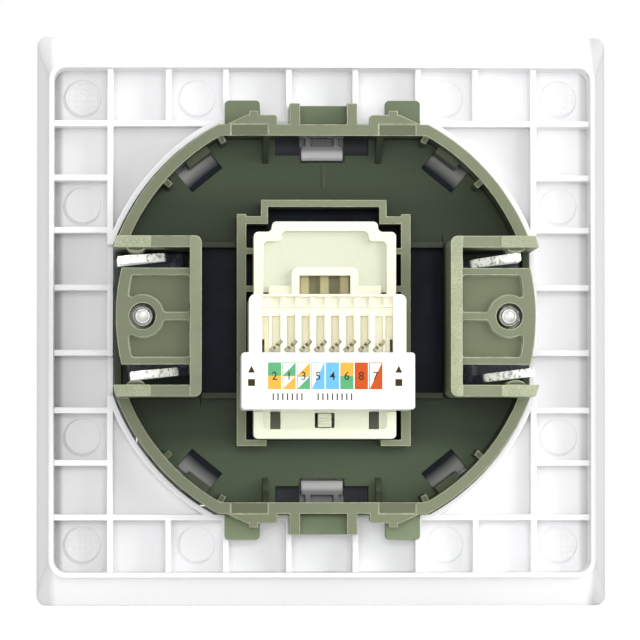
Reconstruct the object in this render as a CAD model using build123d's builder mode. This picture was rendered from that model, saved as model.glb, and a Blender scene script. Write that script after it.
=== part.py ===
from build123d import *
from math import cos, degrees, radians, sin
import os

# Flush data socket with spreading claws, built as seen from behind.
# Lengths are in millimetres. +Y points into the wall box, +Z up, and the wall plane is Y = 0.

# Cover frame
frame_size = 85.0
frame_corner = 1.4
frame_front_y = -9.5
frame_edge_y = -6.5
band_rear_y = -2.0
frame_front_wall = 2.0
frame_front_round = 1.2
skirt_width = 81.2
skirt_height = 76.4
skirt_corner = 2.6
skirt_wall = 0.75
rib_rear_y = -2.2
rib_wall = 0.9
long_rib_x = 31.5
long_rib_z = 29.3
short_ribs_x = [4.95, 14.3, 22.85]
short_ribs_z = [4.85, 13.4, 21.2]
cover_hole_radius = 33.0
corner_pad = 1.5
side_notch_length = 5.7
side_notch_z = 8.25

# Centre plate
plate_size = 55.0
plate_corner = 1.5
plate_gap = 0.2
plate_proud = 0.5
plate_wall = 1.8
plate_seat_y = -6.5
latch_width = 6.2
latch_inner_z = 23.85
latch_outer_z = 26.0
latch_rear_y = -3.4
latch_leg = 0.75
latch_leg_x = 2.1
latch_leg_reach = 1.4
latch_chamfer = 0.45

# Support ring
ring_radius = 32.6
ring_wall = 1.65
top_flat = 28.7
flat_wall = 1.7
side_flat = 30.8
floor_rear_y = -4.0
floor_thickness = 1.8
rim_y = 5.0
rim_step = 0.25
rim_step_x = 10.9
rim_step_length = 5.5
liner_thickness = 0.3
liner_inset = 0.4

# Claw housings
housing_y = 19.0
housing_inner_x = 18.0
housing_wall = 1.7
housing_half = 11.63
housing_corner = 1.0
housing_step = 0.3
housing_step_end_x = 25.4
housing_end_slant = 0.5
bump_x = 27.5
bump_half_width = 1.3
bump_height = 0.7
bump_start_y = 6.0
bump_end_gap = 0.8
table_y = 18.0
table_thickness = 2.8
table_half = 7.0
table_edge_radius = 30.4
table_rim = 1.05
table_outer_rim = 1.65
table_pocket = 1.2
table_rib = 1.15
table_skirt = 7.0
pocket_round = 0.45
boss_radius = 3.05
boss_hole_radius = 1.9
boss_length = 6.0
seat_radius = 3.8
seat_height = 1.6
sill_height = 2.0
sill_wall = 1.0

# Claws, nuts and screws
screw_x = 26.55
screw_radius = 1.5
screw_tip_y = 17.3
screw_tip_chamfer = 0.25
screw_head_radius = 2.75
screw_head_height = 1.6
screw_slot_width = 0.8
screw_slot_depth = 0.9
screw_head_gap = 0.3
screw_bore_gap = 0.1
claw_yaw = 6.5
claw_swing = 20.0
claw_sheet = 1.2
claw_arm_offset = 8.4
claw_reach = 3.1
pivot_distance = 5.65
pivot_y = 2.2
pivot_radius = 1.1
pivot_gap = 0.05
saddle_out = 0.45
saddle_in = 1.9
saddle_half = 6.0
claw_tip_x = 8.35
claw_tip_y = 15.4
claw_tip_width = 1.9
claw_shoulder_x = 1.6
claw_shoulder_y = 8.5
claw_tooth = 0.45
claw_teeth = 4
claw_tooth_pitch = 1.1
web_slot_width = 3.5
web_slot_gap = 0.25
nut_width = 4.6
nut_length = 5.5
nut_height = 2.6
nut_round = 3.2
nut_gap = 0.3
thread_gap = 0.05

# Jack rails and floor openings
rail_outer_x = 12.8
rail_wall = 1.4
rail_top_z = 15.4
rail_bottom_z = -18.75
rail_y = 6.0
bridge_half = 9.25
bridge_top_z = 17.5
bridge_wall = 1.05
link_z = 14.5
link_wall = 1.15
foot_inner_x = 8.4
jack_gap = 0.1
window_half = 10.75
window_rib = 0.9
window_rib_height = 3.0
nib_z = [9.95, 4.4, -12.0]
nib_wall = 0.9
slot_half_width = 6.95
slot_inner_z = 24.7
slot_outer_z = 27.6
slot_top_y = 3.5
notch_half_width = 3.35
notch_inner_z = 23.6
corner_hole_radius = 29.0
corner_hole_angle = 50.8
corner_hole_length = 5.8
corner_hole_width = 3.9
corner_tab_length = 4.0
corner_tab_width = 1.15
corner_tab_y = 1.0
nib_angle = 9.7
nib_reach = 1.3
gusset_x = 8.4
gusset_wall = 0.9
gusset_reach = 3.6
gusset_drop = 0.8
channel_half = 5.0
channel_wall = 1.55
channel_reach = 3.1
tab_inner_x = 9.3
tab_outer_x = 14.5
tab_reach = 3.9
tab_thickness = 1.8
tab_corner = 0.6
wedge_inner_x = 6.8
wedge_knee_x = 11.3
wedge_outer_x = 14.3
wedge_reach = 1.4
wedge_thickness = 3.0
wedge_round = 0.5
pin_x = 10.3
pin_radius = 0.65
pin_reach = 0.6

# Jack
jack_half = 10.4
jack_bottom_z = -17.7
jack_shoulder_z = 12.5
jack_top_z = 14.0
jack_neck_half = 7.75
jack_round = 0.7
jack_wall = 1.3
jack_rear_y = 9.4
jack_floor_y = 2.5
nose_half_x = 8.2
nose_half_z = 7.5
nose_round = 0.8
nose_setback = 0.2
nose_gap = 0.2
port_half_x = 5.9
port_top_z = 3.2
port_bottom_z = -4.0
port_depth = 11.0
key_half_x = 3.1
key_bottom_z = -5.5
contact_channel_half = 4.4
contact_channel_top_z = 5.0
contact_channel_front = 1.8
finger_half = 1.0
finger_gap = 0.45
finger_top_z = -14.0
finger_bottom_z = -16.0
finger_ridges = 4
finger_ridge = 0.3
board_y = 5.0
board_thickness = 1.6
board_gap = 0.2
board_top_z = 10.0
board_bottom_z = -13.0
carrier_half = 5.4
carrier_top_z = 7.4
carrier_bottom_z = 2.0
carrier_gap = 0.1
carrier_post = 1.3
carrier_post_x = 2.95
carrier_groove = 0.9

# Jack back cover
cover_sheet = 1.2
cover_rim = 1.4
cover_rim_y = 12.0
arch_half = 4.9
arch_top_z = 7.3
arch_wall = 1.2
arch_round = 1.0
sight_bottom_z = 3.1
ledge_inner_x = 4.0
ledge_outer_x = 8.2
ledge_top_z = 4.6
ledge_height = 0.9
ledge_hole_top_z = 3.7
latch_slot_x = 7.2
latch_slot_half = 0.75

# Punch-down block and colour code block
block_half = 11.27
block_top_z = 2.95
block_bottom_z = -5.4
block_round = 0.9
block_y = 25.0
chamber_half = 9.4
chamber_floor_y = 17.0
step_floor_y = 22.0
step_floor_z = -3.5
comb_bar_top_z = 2.6
comb_bar_z = 1.1
comb_bar_y = 24.3
comb_bar_notch = 0.5
comb_band_z = -0.15
comb_band_y = 23.2
contact_pitch = 2.11
contact_count = 8
slot_width = 1.16
tooth_top_z = 0.3
tooth_y = 24.7
tooth_chamfer = 0.22
end_wall = 0.4
idc_z = -4.45
idc_angle = 45.0
idc_width = 2.0
idc_sheet = 0.4
idc_slot = 0.36
idc_slot_depth = 4.5
idc_mouth = 0.5
idc_tip_y = 23.6
idc_stem_width = 0.7
idc_stem_end_y = 17.6
idc_gap = 0.12
label_half = 12.4
label_bottom_z = -13.6
label_gap = 0.05
label_y = 28.0
label_wall = 1.2
label_round = 0.5

# Port contacts
wire_pitch = 1.02
wire_size = 0.45
wire_lay_z = 4.2
wire_turn_y = -7.0
wire_turn_round = 0.5
wire_tip_y = -1.0
wire_tip_z = 1.3

# Worked-out places
floor_front_y = floor_rear_y - floor_thickness
liner_front_y = floor_front_y - liner_thickness
plate_front_y = frame_front_y - plate_proud
web_rear_y = frame_front_y + frame_front_wall
rib_gap_x = long_rib_x - rib_wall / 2
rib_gap_z = long_rib_z - rib_wall / 2
rail_inner_x = rail_outer_x - rail_wall
housing_slot = housing_half - housing_wall
nose_front_y = plate_front_y + nose_setback
cover_y = jack_rear_y + cover_sheet
board_rear_y = board_y + board_thickness
tooth_width = contact_pitch - slot_width
top_inside = top_flat - flat_wall


def behind(y):
    """Plane parallel to the wall at depth y, seen from behind: its x runs to -X and its y up."""
    return Plane(origin=(0, y, 0), x_dir=(-1, 0, 0), z_dir=(0, 1, 0))


def spread(x_values, z=0.0):
    """The same places on both sides of the middle."""
    return [(side * x, z) for x in x_values for side in (-1, 1)]


def span(low_x, high_x, low_z, high_z):
    """A rectangle between two corners, at the current place."""
    with Locations(((low_x + high_x) / 2, (low_z + high_z) / 2)):
        return Rectangle(high_x - low_x, high_z - low_z)


def trimmed_circle(radius, half_width, half_height):
    """A circle with its sides, top and bottom cut flat."""
    with BuildSketch() as outline:
        Circle(radius)
        Rectangle(2 * half_width, 2 * half_height, mode=Mode.INTERSECT)
    return outline.sketch


def jack_outline(inset):
    """The jack's T-shaped outline, drawn in by an even inset."""
    shoulder = jack_shoulder_z - inset
    foot = jack_bottom_z + inset
    with BuildSketch() as outline:
        span(inset - jack_half, jack_half - inset, foot, shoulder)
        span(inset - jack_neck_half, jack_neck_half - inset, foot, jack_top_z - inset)
        fillet(outline.vertices(), jack_round)
    return outline.sketch


def keep(part, name):
    """Label a finished piece and write it."""
    part.label = name
    export_step(part, f"parts/{name}.step")


def hinge_plane(turn):
    """Plane across a claw's hinge: x points out of the box's side, y to the rear, z along the hinge."""
    angle = radians(turn - claw_yaw)
    out = Vector(cos(angle), 0, sin(angle))
    middle = Vector(screw_x * cos(radians(turn)), pivot_y, screw_x * sin(radians(turn)))
    return Plane(origin=middle - out * pivot_distance, x_dir=out, z_dir=(-out.Z, 0, out.X))


os.makedirs("parts", exist_ok=True)

sides = {"left": 0, "right": 180}
outer_ring = trimmed_circle(ring_radius, side_flat, top_flat)
inner_ring = trimmed_circle(ring_radius - ring_wall, side_flat + ring_wall, top_inside)
cover_hole = trimmed_circle(cover_hole_radius, rib_gap_x, rib_gap_z)
cover_wall = trimmed_circle(cover_hole_radius + rib_wall, rib_gap_x, rib_gap_z)
liner_shape = trimmed_circle(
    ring_radius - ring_wall - liner_inset, side_flat - liner_inset, top_flat - liner_inset
)
jack_shape = jack_outline(0)
jack_inside = jack_outline(jack_wall)
cover_inside = jack_outline(cover_rim)

# Cover frame
with BuildPart() as cover_frame:
    with BuildSketch(behind(frame_front_y)):
        RectangleRounded(frame_size, frame_size, frame_corner)
    extrude(amount=frame_edge_y - frame_front_y)
    with BuildSketch(behind(frame_edge_y)):
        RectangleRounded(frame_size, frame_size, frame_corner)
    with BuildSketch(behind(band_rear_y)):
        RectangleRounded(skirt_width, skirt_height, skirt_corner)
    loft()
    with BuildSketch(behind(band_rear_y)):
        RectangleRounded(skirt_width, skirt_height, skirt_corner)
    extrude(amount=-band_rear_y)
    fillet(cover_frame.faces().sort_by(Axis.Y)[0].edges(), frame_front_round)
    with BuildSketch(behind(web_rear_y)):
        RectangleRounded(
            skirt_width - 2 * skirt_wall, skirt_height - 2 * skirt_wall, skirt_corner - skirt_wall
        )
    extrude(amount=-web_rear_y, mode=Mode.SUBTRACT)

    # Waffle of ribs behind the front wall
    with BuildSketch(behind(web_rear_y)):
        with Locations(*spread([long_rib_x])):
            Rectangle(rib_wall, skirt_height - skirt_wall)
        with Locations((0, long_rib_z), (0, -long_rib_z)):
            Rectangle(skirt_width - skirt_wall, rib_wall)
        outer_rib = (skirt_height - skirt_wall) / 2
        for row in (-1, 1):
            with Locations(*spread(short_ribs_x, row * (long_rib_z + outer_rib) / 2)):
                Rectangle(rib_wall, outer_rib - long_rib_z)
        outer_rib = (skirt_width - skirt_wall) / 2
        for z in short_ribs_z:
            for row in (-1, 1):
                with Locations(*spread([(long_rib_x + outer_rib) / 2], row * z)):
                    Rectangle(outer_rib - long_rib_x, rib_wall)
        add(cover_wall)
    extrude(amount=rib_rear_y - web_rear_y)

    # Pockets behind the plate's corners, the round hole and the plate's window
    with BuildSketch(behind(plate_seat_y + corner_pad)):
        Rectangle(2 * rib_gap_x, 2 * rib_gap_z)
        add(cover_wall, mode=Mode.SUBTRACT)
    extrude(amount=rib_rear_y - plate_seat_y, mode=Mode.SUBTRACT)
    with BuildSketch(behind(web_rear_y)):
        Rectangle(2 * rib_gap_x, 2 * rib_gap_z)
    extrude(amount=plate_seat_y + corner_pad - web_rear_y)
    with BuildSketch(behind(web_rear_y)):
        add(cover_hole)
    extrude(amount=-web_rear_y, mode=Mode.SUBTRACT)
    with BuildSketch(behind(frame_front_y)):
        RectangleRounded(plate_size + 2 * plate_gap, plate_size + 2 * plate_gap, plate_corner)
    extrude(amount=plate_seat_y - frame_front_y, mode=Mode.SUBTRACT)

    # Notches in the side ribs beside the claw housings
    with BuildSketch(behind(plate_seat_y + corner_pad)):
        for row in (-1, 1):
            with Locations(*spread([long_rib_x], row * side_notch_z)):
                Rectangle(rib_wall, side_notch_length)
    extrude(amount=rib_rear_y - plate_seat_y - corner_pad, mode=Mode.SUBTRACT)
keep(cover_frame.part, "cover_frame")

# Centre plate with its port window and snap latches
with BuildPart() as centre_plate:
    with BuildSketch(behind(plate_front_y)):
        RectangleRounded(plate_size, plate_size, plate_corner)
    extrude(amount=plate_seat_y - plate_front_y)
    fillet(centre_plate.faces().sort_by(Axis.Y)[0].edges(), plate_proud)
    with BuildSketch(behind(plate_front_y + plate_wall)):
        Rectangle(plate_size - 2 * plate_wall, plate_size - 2 * plate_wall)
    extrude(amount=plate_seat_y - plate_front_y, mode=Mode.SUBTRACT)
    with BuildSketch(behind(plate_front_y + plate_wall)):
        for row in (-1, 1):
            with Locations((0, row * (latch_inner_z + latch_outer_z) / 2)):
                Rectangle(latch_width, latch_outer_z - latch_inner_z)
            with Locations(*spread([latch_leg_x], row * (latch_outer_z + latch_leg_reach / 2))):
                Rectangle(latch_leg, latch_leg_reach)
    extrude(amount=latch_rear_y - plate_front_y - plate_wall)
    latch_edges = centre_plate.edges().filter_by(Axis.X).filter_by(
        lambda e: abs(e.center().Y - latch_rear_y) < 0.01 and abs(e.center().Z) < latch_inner_z + 0.01
    )
    chamfer(latch_edges, latch_chamfer)
    with BuildSketch(behind(plate_front_y)):
        RectangleRounded(2 * (nose_half_x + nose_gap), 2 * (nose_half_z + nose_gap), nose_round)
    extrude(amount=plate_wall, mode=Mode.SUBTRACT)
keep(centre_plate.part, "centre_plate")

# Glossy black sheet on the front of the support's floor
with BuildPart() as black_liner:
    with BuildSketch(behind(liner_front_y)):
        add(liner_shape)
        RectangleRounded(
            2 * (nose_half_x + nose_gap), 2 * (nose_half_z + nose_gap), nose_round, mode=Mode.SUBTRACT
        )
        for row in (-1, 1):
            latch_span = latch_outer_z + latch_leg_reach - latch_inner_z
            with Locations((0, row * (latch_inner_z + latch_span / 2))):
                Rectangle(
                    latch_width + 2 * plate_gap, latch_span + 2 * plate_gap, mode=Mode.SUBTRACT
                )
        with Locations(*spread([screw_x])):
            Circle(seat_radius - plate_gap, mode=Mode.SUBTRACT)
    extrude(amount=liner_thickness)
keep(black_liner.part, "black_liner")

# Support: floor, ring wall, housings and rails are one moulding
with BuildPart() as support:
    with BuildSketch(behind(floor_front_y)):
        add(outer_ring)
        jack_top = link_z - link_wall / 2
        notch_middle = (slot_outer_z + notch_inner_z) / 2
        for low_z, high_z, half in (
            (jack_bottom_z - jack_gap, jack_top, rail_inner_x),
            (jack_bottom_z - jack_gap, bridge_top_z - bridge_wall, bridge_half - bridge_wall),
        ):
            with Locations((0, (low_z + high_z) / 2)):
                Rectangle(2 * half, high_z - low_z, mode=Mode.SUBTRACT)
        with Locations(*spread([(rail_outer_x + housing_inner_x) / 2])):
            Rectangle(housing_inner_x - rail_outer_x, 2 * window_half, mode=Mode.SUBTRACT)
        with Locations((0, notch_middle), (0, -notch_middle)):
            Rectangle(2 * notch_half_width, slot_outer_z - notch_inner_z, mode=Mode.SUBTRACT)
        for middle in (90 - corner_hole_angle, 90 + corner_hole_angle):
            with PolarLocations(corner_hole_radius, 2, start_angle=90 + middle):
                Rectangle(corner_hole_width, corner_hole_length, mode=Mode.SUBTRACT)
    extrude(amount=floor_thickness)

    # Ring wall, with its rim stepped down over the flats
    with BuildSketch(behind(floor_rear_y)):
        add(outer_ring)
        add(inner_ring, mode=Mode.SUBTRACT)
        Rectangle(2 * side_flat, 2 * housing_slot, mode=Mode.SUBTRACT)
    extrude(amount=rim_y - floor_rear_y)
    with BuildSketch(behind(rim_y - rim_step)):
        for row in (-1, 1):
            with Locations(*spread([rim_step_x], row * (top_flat - flat_wall / 2))):
                Rectangle(rim_step_length, flat_wall)
    extrude(amount=rim_step, mode=Mode.SUBTRACT)

    # Slots for the plate's latches, undercut into the walls of the flats
    with BuildSketch(behind(floor_front_y)):
        slot_middle = (slot_outer_z + slot_inner_z) / 2
        with Locations((0, slot_middle), (0, -slot_middle)):
            Rectangle(2 * slot_half_width, slot_outer_z - slot_inner_z)
    extrude(amount=slot_top_y - floor_front_y, mode=Mode.SUBTRACT)

    # Blocks at one end of the corner holes
    with BuildSketch(behind(floor_front_y)):
        inner_radius = ring_radius - ring_wall
        lean = degrees((corner_hole_length - corner_tab_length) / 2 / inner_radius)
        for tab_angle in (180 - corner_hole_angle - lean, 180 + corner_hole_angle + lean):
            with PolarLocations(inner_radius, 2, start_angle=tab_angle):
                Rectangle(2 * corner_tab_width, corner_tab_length)
        add(outer_ring, mode=Mode.INTERSECT)
    extrude(amount=corner_tab_y - floor_front_y)

    # Short ribs beside the corner holes, and gussets against the flats
    with BuildSketch(behind(floor_rear_y)):
        for hole in (90 - corner_hole_angle, 90 + corner_hole_angle):
            for lean in (-nib_angle, nib_angle):
                with PolarLocations(inner_radius - nib_reach / 3, 2, start_angle=90 + hole + lean):
                    Rectangle(nib_reach, nib_wall)
    extrude(amount=rim_y - floor_rear_y - gusset_drop)
    for side in (-1, 1):
        for row in (-1, 1):
            with BuildSketch(Plane.YZ.offset(side * gusset_x - gusset_wall / 2)):
                with BuildLine():
                    Polyline(
                        (floor_rear_y, row * top_inside),
                        (rim_y - gusset_drop, row * top_inside),
                        (floor_rear_y, row * (top_inside - gusset_reach)),
                        close=True,
                    )
                make_face()
            extrude(amount=gusset_wall)

    # Claw housings: a C-shaped wall round each claw, open to the outside
    with BuildSketch(behind(floor_front_y)) as housing_walls:
        with Locations(*spread([(housing_inner_x + side_flat) / 2])):
            Rectangle(side_flat - housing_inner_x, 2 * housing_half)
        fillet(
            housing_walls.vertices().filter_by(lambda v: abs(v.X) < side_flat - 1), housing_corner
        )
        with Locations(*spread([(housing_inner_x + housing_wall + side_flat) / 2])):
            Rectangle(
                side_flat - housing_inner_x - housing_wall, 2 * housing_slot, mode=Mode.SUBTRACT
            )
        for side in (-1, 1):
            for row in (-1, 1):
                with BuildLine():
                    Polyline(
                        (side * side_flat, row * housing_half),
                        (side * (side_flat - housing_end_slant), row * housing_half),
                        (side * side_flat, row * housing_slot),
                        close=True,
                    )
                make_face(mode=Mode.SUBTRACT)
    extrude(amount=housing_y - floor_front_y)
    with BuildSketch(behind(housing_y - housing_step)):
        step_start = housing_inner_x + housing_wall
        for row in (-1, 1):
            with Locations(
                *spread([(step_start + housing_step_end_x) / 2], row * (housing_half - housing_wall / 2))
            ):
                Rectangle(housing_step_end_x - step_start, housing_wall)
    extrude(amount=housing_step, mode=Mode.SUBTRACT)
    with BuildSketch(behind(bump_start_y)):
        for row in (-1, 1):
            with Locations(*spread([bump_x], row * housing_slot)):
                Ellipse(bump_half_width, bump_height)
    extrude(amount=housing_y - bump_end_gap - bump_start_y)

    # Low sill on the open side, and the seat of each screw's head
    with BuildSketch(behind(floor_rear_y)):
        with Locations(*spread([side_flat - sill_wall / 2])):
            Rectangle(sill_wall, 2 * housing_slot)
    extrude(amount=sill_height)
    with BuildSketch(behind(floor_rear_y)):
        with Locations(*spread([screw_x])):
            Circle(seat_radius)
    extrude(amount=seat_height)
    with BuildSketch(behind(floor_front_y)):
        with Locations(*spread([screw_x])):
            Circle(screw_radius + screw_bore_gap)
    extrude(amount=floor_thickness + seat_height, mode=Mode.SUBTRACT)
    with BuildSketch(behind(floor_front_y)):
        with Locations(*spread([screw_x])):
            Circle(screw_head_radius + screw_head_gap)
    extrude(amount=floor_thickness, mode=Mode.SUBTRACT)

    # Table across each housing: skirt and boss first, then the plate with its two pockets
    with BuildSketch(behind(table_y - table_skirt)) as table_edge:
        Circle(table_edge_radius)
        Circle(table_edge_radius - table_rim, mode=Mode.SUBTRACT)
        Rectangle(2 * side_flat, 2 * table_half, mode=Mode.INTERSECT)
    extrude(amount=table_skirt)
    with BuildSketch(behind(table_y - table_thickness)):
        Circle(table_edge_radius)
        Rectangle(2 * side_flat, 2 * table_half, mode=Mode.INTERSECT)
        Rectangle(2 * (housing_inner_x + housing_wall / 2), 2 * housing_half, mode=Mode.SUBTRACT)
    extrude(amount=table_thickness)
    with BuildSketch(behind(table_y - boss_length)):
        with Locations(*spread([screw_x])):
            Circle(boss_radius)
    extrude(amount=boss_length)
    with BuildSketch(behind(table_y - table_pocket)) as pockets:
        Circle(table_edge_radius - table_outer_rim)
        Rectangle(2 * side_flat, 2 * (table_half - table_rim), mode=Mode.INTERSECT)
        Rectangle(2 * (housing_inner_x + housing_wall), 2 * housing_half, mode=Mode.SUBTRACT)
        Rectangle(2 * screw_x, table_rib, mode=Mode.SUBTRACT)
        with Locations(*spread([screw_x])):
            Circle(boss_radius + pocket_round / 9, mode=Mode.SUBTRACT)
        offset(amount=-pocket_round, kind=Kind.INTERSECTION, mode=Mode.REPLACE)
        offset(amount=pocket_round, kind=Kind.ARC, mode=Mode.REPLACE)
    extrude(amount=table_pocket, mode=Mode.SUBTRACT)
    with BuildSketch(behind(table_y - boss_length)):
        with Locations(*spread([screw_x])):
            Circle(boss_hole_radius)
    extrude(amount=boss_length, mode=Mode.SUBTRACT)

    # Saddle under each claw's rolled edge, and the groove that the edge turns in
    for turn in sides.values():
        with BuildSketch(hinge_plane(turn)):
            span(-saddle_in, saddle_out, floor_rear_y - pivot_y, 0)
        extrude(amount=saddle_half, both=True)
        with BuildSketch(hinge_plane(turn)):
            Circle(pivot_radius + pivot_gap)
        extrude(amount=claw_arm_offset + claw_sheet, both=True, mode=Mode.SUBTRACT)

    # Rails and bridge round the jack
    with BuildSketch(behind(floor_front_y)):
        for side in (-1, 1):
            rail = sorted((side * rail_inner_x, side * rail_outer_x))
            drop = sorted((side * (bridge_half - bridge_wall), side * bridge_half))
            link = sorted((side * (bridge_half - bridge_wall), side * rail_outer_x))
            foot = sorted((side * foot_inner_x, side * rail_outer_x))
            span(*rail, rail_bottom_z, rail_top_z)
            span(*drop, link_z - link_wall / 2, bridge_top_z)
            span(*link, link_z - link_wall / 2, link_z + link_wall / 2)
            span(*foot, rail_bottom_z, jack_bottom_z - jack_gap)
            for z in nib_z:
                nib = sorted((side * jack_half, side * rail_outer_x))
                span(*nib, z - nib_wall / 2, z + nib_wall / 2)
        span(-bridge_half, bridge_half, bridge_top_z - bridge_wall, bridge_top_z)
    extrude(amount=rail_y - floor_front_y)
    with BuildSketch(behind(floor_rear_y)):
        for row in (-1, 1):
            middle = (rail_outer_x + housing_inner_x) / 2
            with Locations(*spread([middle], row * (window_half + window_rib / 2))):
                Rectangle(housing_inner_x - rail_outer_x, window_rib)
    extrude(amount=window_rib_height)

    # Screw channels, coupling tabs and wedges outside the flats
    for row in (-1, 1):
        flat = row * (top_flat + channel_reach / 2)
        with BuildSketch(behind(rib_rear_y)):
            with Locations((0, flat)):
                Rectangle(2 * channel_half, channel_reach)
        extrude(amount=tab_thickness)
        with BuildSketch(behind(rib_rear_y)):
            with Locations(*spread([channel_half - channel_wall / 2], flat)):
                Rectangle(channel_wall, channel_reach)
        extrude(amount=rim_y - rib_rear_y)
        with BuildSketch(behind(rib_rear_y)) as tabs:
            middle = (tab_inner_x + tab_outer_x) / 2
            with Locations(*spread([middle], row * (top_flat - flat_wall / 2 + tab_reach / 2))):
                Rectangle(tab_outer_x - tab_inner_x, tab_reach + flat_wall)
            outer_corners = tabs.vertices().filter_by(lambda v: abs(v.Y) > top_flat)
            fillet(outer_corners, tab_corner)
        extrude(amount=tab_thickness)
        for side in (-1, 1):
            with BuildSketch(behind(rim_y - wedge_thickness)) as wedge:
                with BuildLine():
                    Polyline(
                        (side * wedge_outer_x, row * top_flat),
                        (side * wedge_knee_x, row * (top_flat + wedge_reach)),
                        (side * wedge_inner_x, row * (top_flat + wedge_reach)),
                        (side * wedge_inner_x, row * top_flat),
                        close=True,
                    )
                make_face()
                tip = wedge.vertices().filter_by(
                    lambda v: abs(v.X) < wedge_knee_x - 1 and abs(v.Y) > top_flat + wedge_round
                )
                fillet(tip, wedge_round)
                with Locations((side * pin_x, row * (top_flat + wedge_reach + pin_reach / 2))):
                    Rectangle(2 * pin_radius, pin_reach)
            extrude(amount=wedge_thickness)
keep(support.part, "support")

# Claws, their nuts and their screws
for side, turn in sides.items():
    across = hinge_plane(turn)
    web_end = pivot_distance + claw_reach
    slot_start = pivot_distance - screw_radius - web_slot_gap
    lean = radians(claw_swing)
    slot_end = (pivot_distance + screw_radius) / cos(lean) + claw_sheet / 2 * sin(lean) + web_slot_gap
    half_sheet = claw_sheet / 2

    with BuildPart() as claw:
        with BuildSketch(across):
            span(0, web_end, -half_sheet, half_sheet)
            Circle(pivot_radius)
        extrude(amount=claw_arm_offset - half_sheet, both=True)
        with BuildSketch(Plane(across.origin, x_dir=across.x_dir, z_dir=(0, -1, 0)).offset(-claw_sheet)):
            with Locations(((slot_start + slot_end) / 2, 0)):
                SlotOverall(slot_end - slot_start, web_slot_width)
        extrude(amount=2 * claw_sheet, mode=Mode.SUBTRACT)
        for level in (-claw_arm_offset, claw_arm_offset):
            with BuildSketch(across.offset(level - half_sheet)):
                with BuildLine():
                    teeth = [(claw_tip_x, claw_tip_y)]
                    for tooth in range(claw_teeth):
                        root = claw_tip_y - (tooth + 0.6) * claw_tooth_pitch
                        teeth.append((claw_tip_x - claw_tooth, root))
                        teeth.append((claw_tip_x, root - 0.4 * claw_tooth_pitch))
                    Polyline(
                        *teeth,
                        (web_end, half_sheet),
                        (web_end, -half_sheet),
                        (0, -half_sheet),
                        (pivot_radius / 3, half_sheet),
                        (claw_shoulder_x, claw_shoulder_y),
                        (claw_tip_x - claw_tip_width, claw_tip_y),
                        close=True,
                    )
                make_face()
                Circle(pivot_radius)
            extrude(amount=claw_sheet)
    keep(claw.part, f"claw_{side}")

    with BuildPart() as nut:
        crest = half_sheet + nut_gap
        with BuildSketch(across):
            with Locations((pivot_distance, crest + nut_round)):
                Circle(nut_round)
            with Locations((pivot_distance, crest + nut_height / 2)):
                Rectangle(nut_width, nut_height, mode=Mode.INTERSECT)
        extrude(amount=nut_length / 2, both=True)
        with BuildSketch(behind(0)):
            with Locations((-screw_x * cos(radians(turn)), 0)):
                Circle(screw_radius + thread_gap)
        extrude(amount=housing_y, mode=Mode.SUBTRACT)
    keep(nut.part, f"claw_nut_{side}")

    with BuildPart() as screw:
        head_y = floor_rear_y - screw_head_gap / 3
        with BuildSketch(behind(head_y - screw_head_height)):
            with Locations((-screw_x * cos(radians(turn)), 0)):
                Circle(screw_head_radius)
        extrude(amount=screw_head_height)
        with BuildSketch(behind(head_y - screw_head_height)):
            with Locations((-screw_x * cos(radians(turn)), 0)):
                Rectangle(2 * screw_head_radius, screw_slot_width)
        extrude(amount=screw_slot_depth, mode=Mode.SUBTRACT)
        with BuildSketch(behind(head_y)):
            with Locations((-screw_x * cos(radians(turn)), 0)):
                Circle(screw_radius)
        extrude(amount=screw_tip_y - head_y)
        chamfer(screw.faces().sort_by(Axis.Y)[-1].edges(), screw_tip_chamfer)
    keep(screw.part, f"claw_screw_{side}")

# Jack housing with the port, its contact channel and the ribbed catch at the bottom
with BuildPart() as jack_housing:
    with BuildSketch(behind(floor_front_y)):
        add(jack_shape)
    extrude(amount=jack_rear_y - floor_front_y)
    with BuildSketch(behind(nose_front_y)):
        RectangleRounded(2 * nose_half_x, 2 * nose_half_z, nose_round)
    extrude(amount=floor_front_y - nose_front_y)
    with BuildSketch(behind(jack_floor_y)):
        add(jack_inside)
    extrude(amount=jack_rear_y - jack_floor_y, mode=Mode.SUBTRACT)
    with BuildSketch(behind(nose_front_y)):
        span(-port_half_x, port_half_x, port_bottom_z, port_top_z)
        span(-key_half_x, key_half_x, key_bottom_z, port_bottom_z)
    extrude(amount=port_depth, mode=Mode.SUBTRACT)
    with BuildSketch(behind(nose_front_y + contact_channel_front)):
        span(-contact_channel_half, contact_channel_half, port_top_z, contact_channel_top_z)
    extrude(amount=jack_floor_y - nose_front_y, mode=Mode.SUBTRACT)
    with BuildSketch(behind(jack_floor_y)):
        span(-finger_half, finger_half, finger_bottom_z, finger_top_z)
    extrude(amount=cover_y - jack_floor_y)
    ridge_pitch = (finger_top_z - finger_bottom_z) / finger_ridges
    with BuildSketch(behind(cover_y)):
        for ridge in range(finger_ridges):
            low = finger_bottom_z + ridge * ridge_pitch
            span(-finger_half, finger_half, low, low + ridge_pitch / 2)
    extrude(amount=finger_ridge)
keep(jack_housing.part, "jack_housing")

# Circuit board inside the jack
with BuildPart() as jack_board:
    with BuildSketch(behind(board_y)):
        half = jack_half - jack_wall - board_gap
        span(-half, half, board_bottom_z, board_top_z)
    extrude(amount=board_thickness)
keep(jack_board.part, "jack_board")

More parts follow.
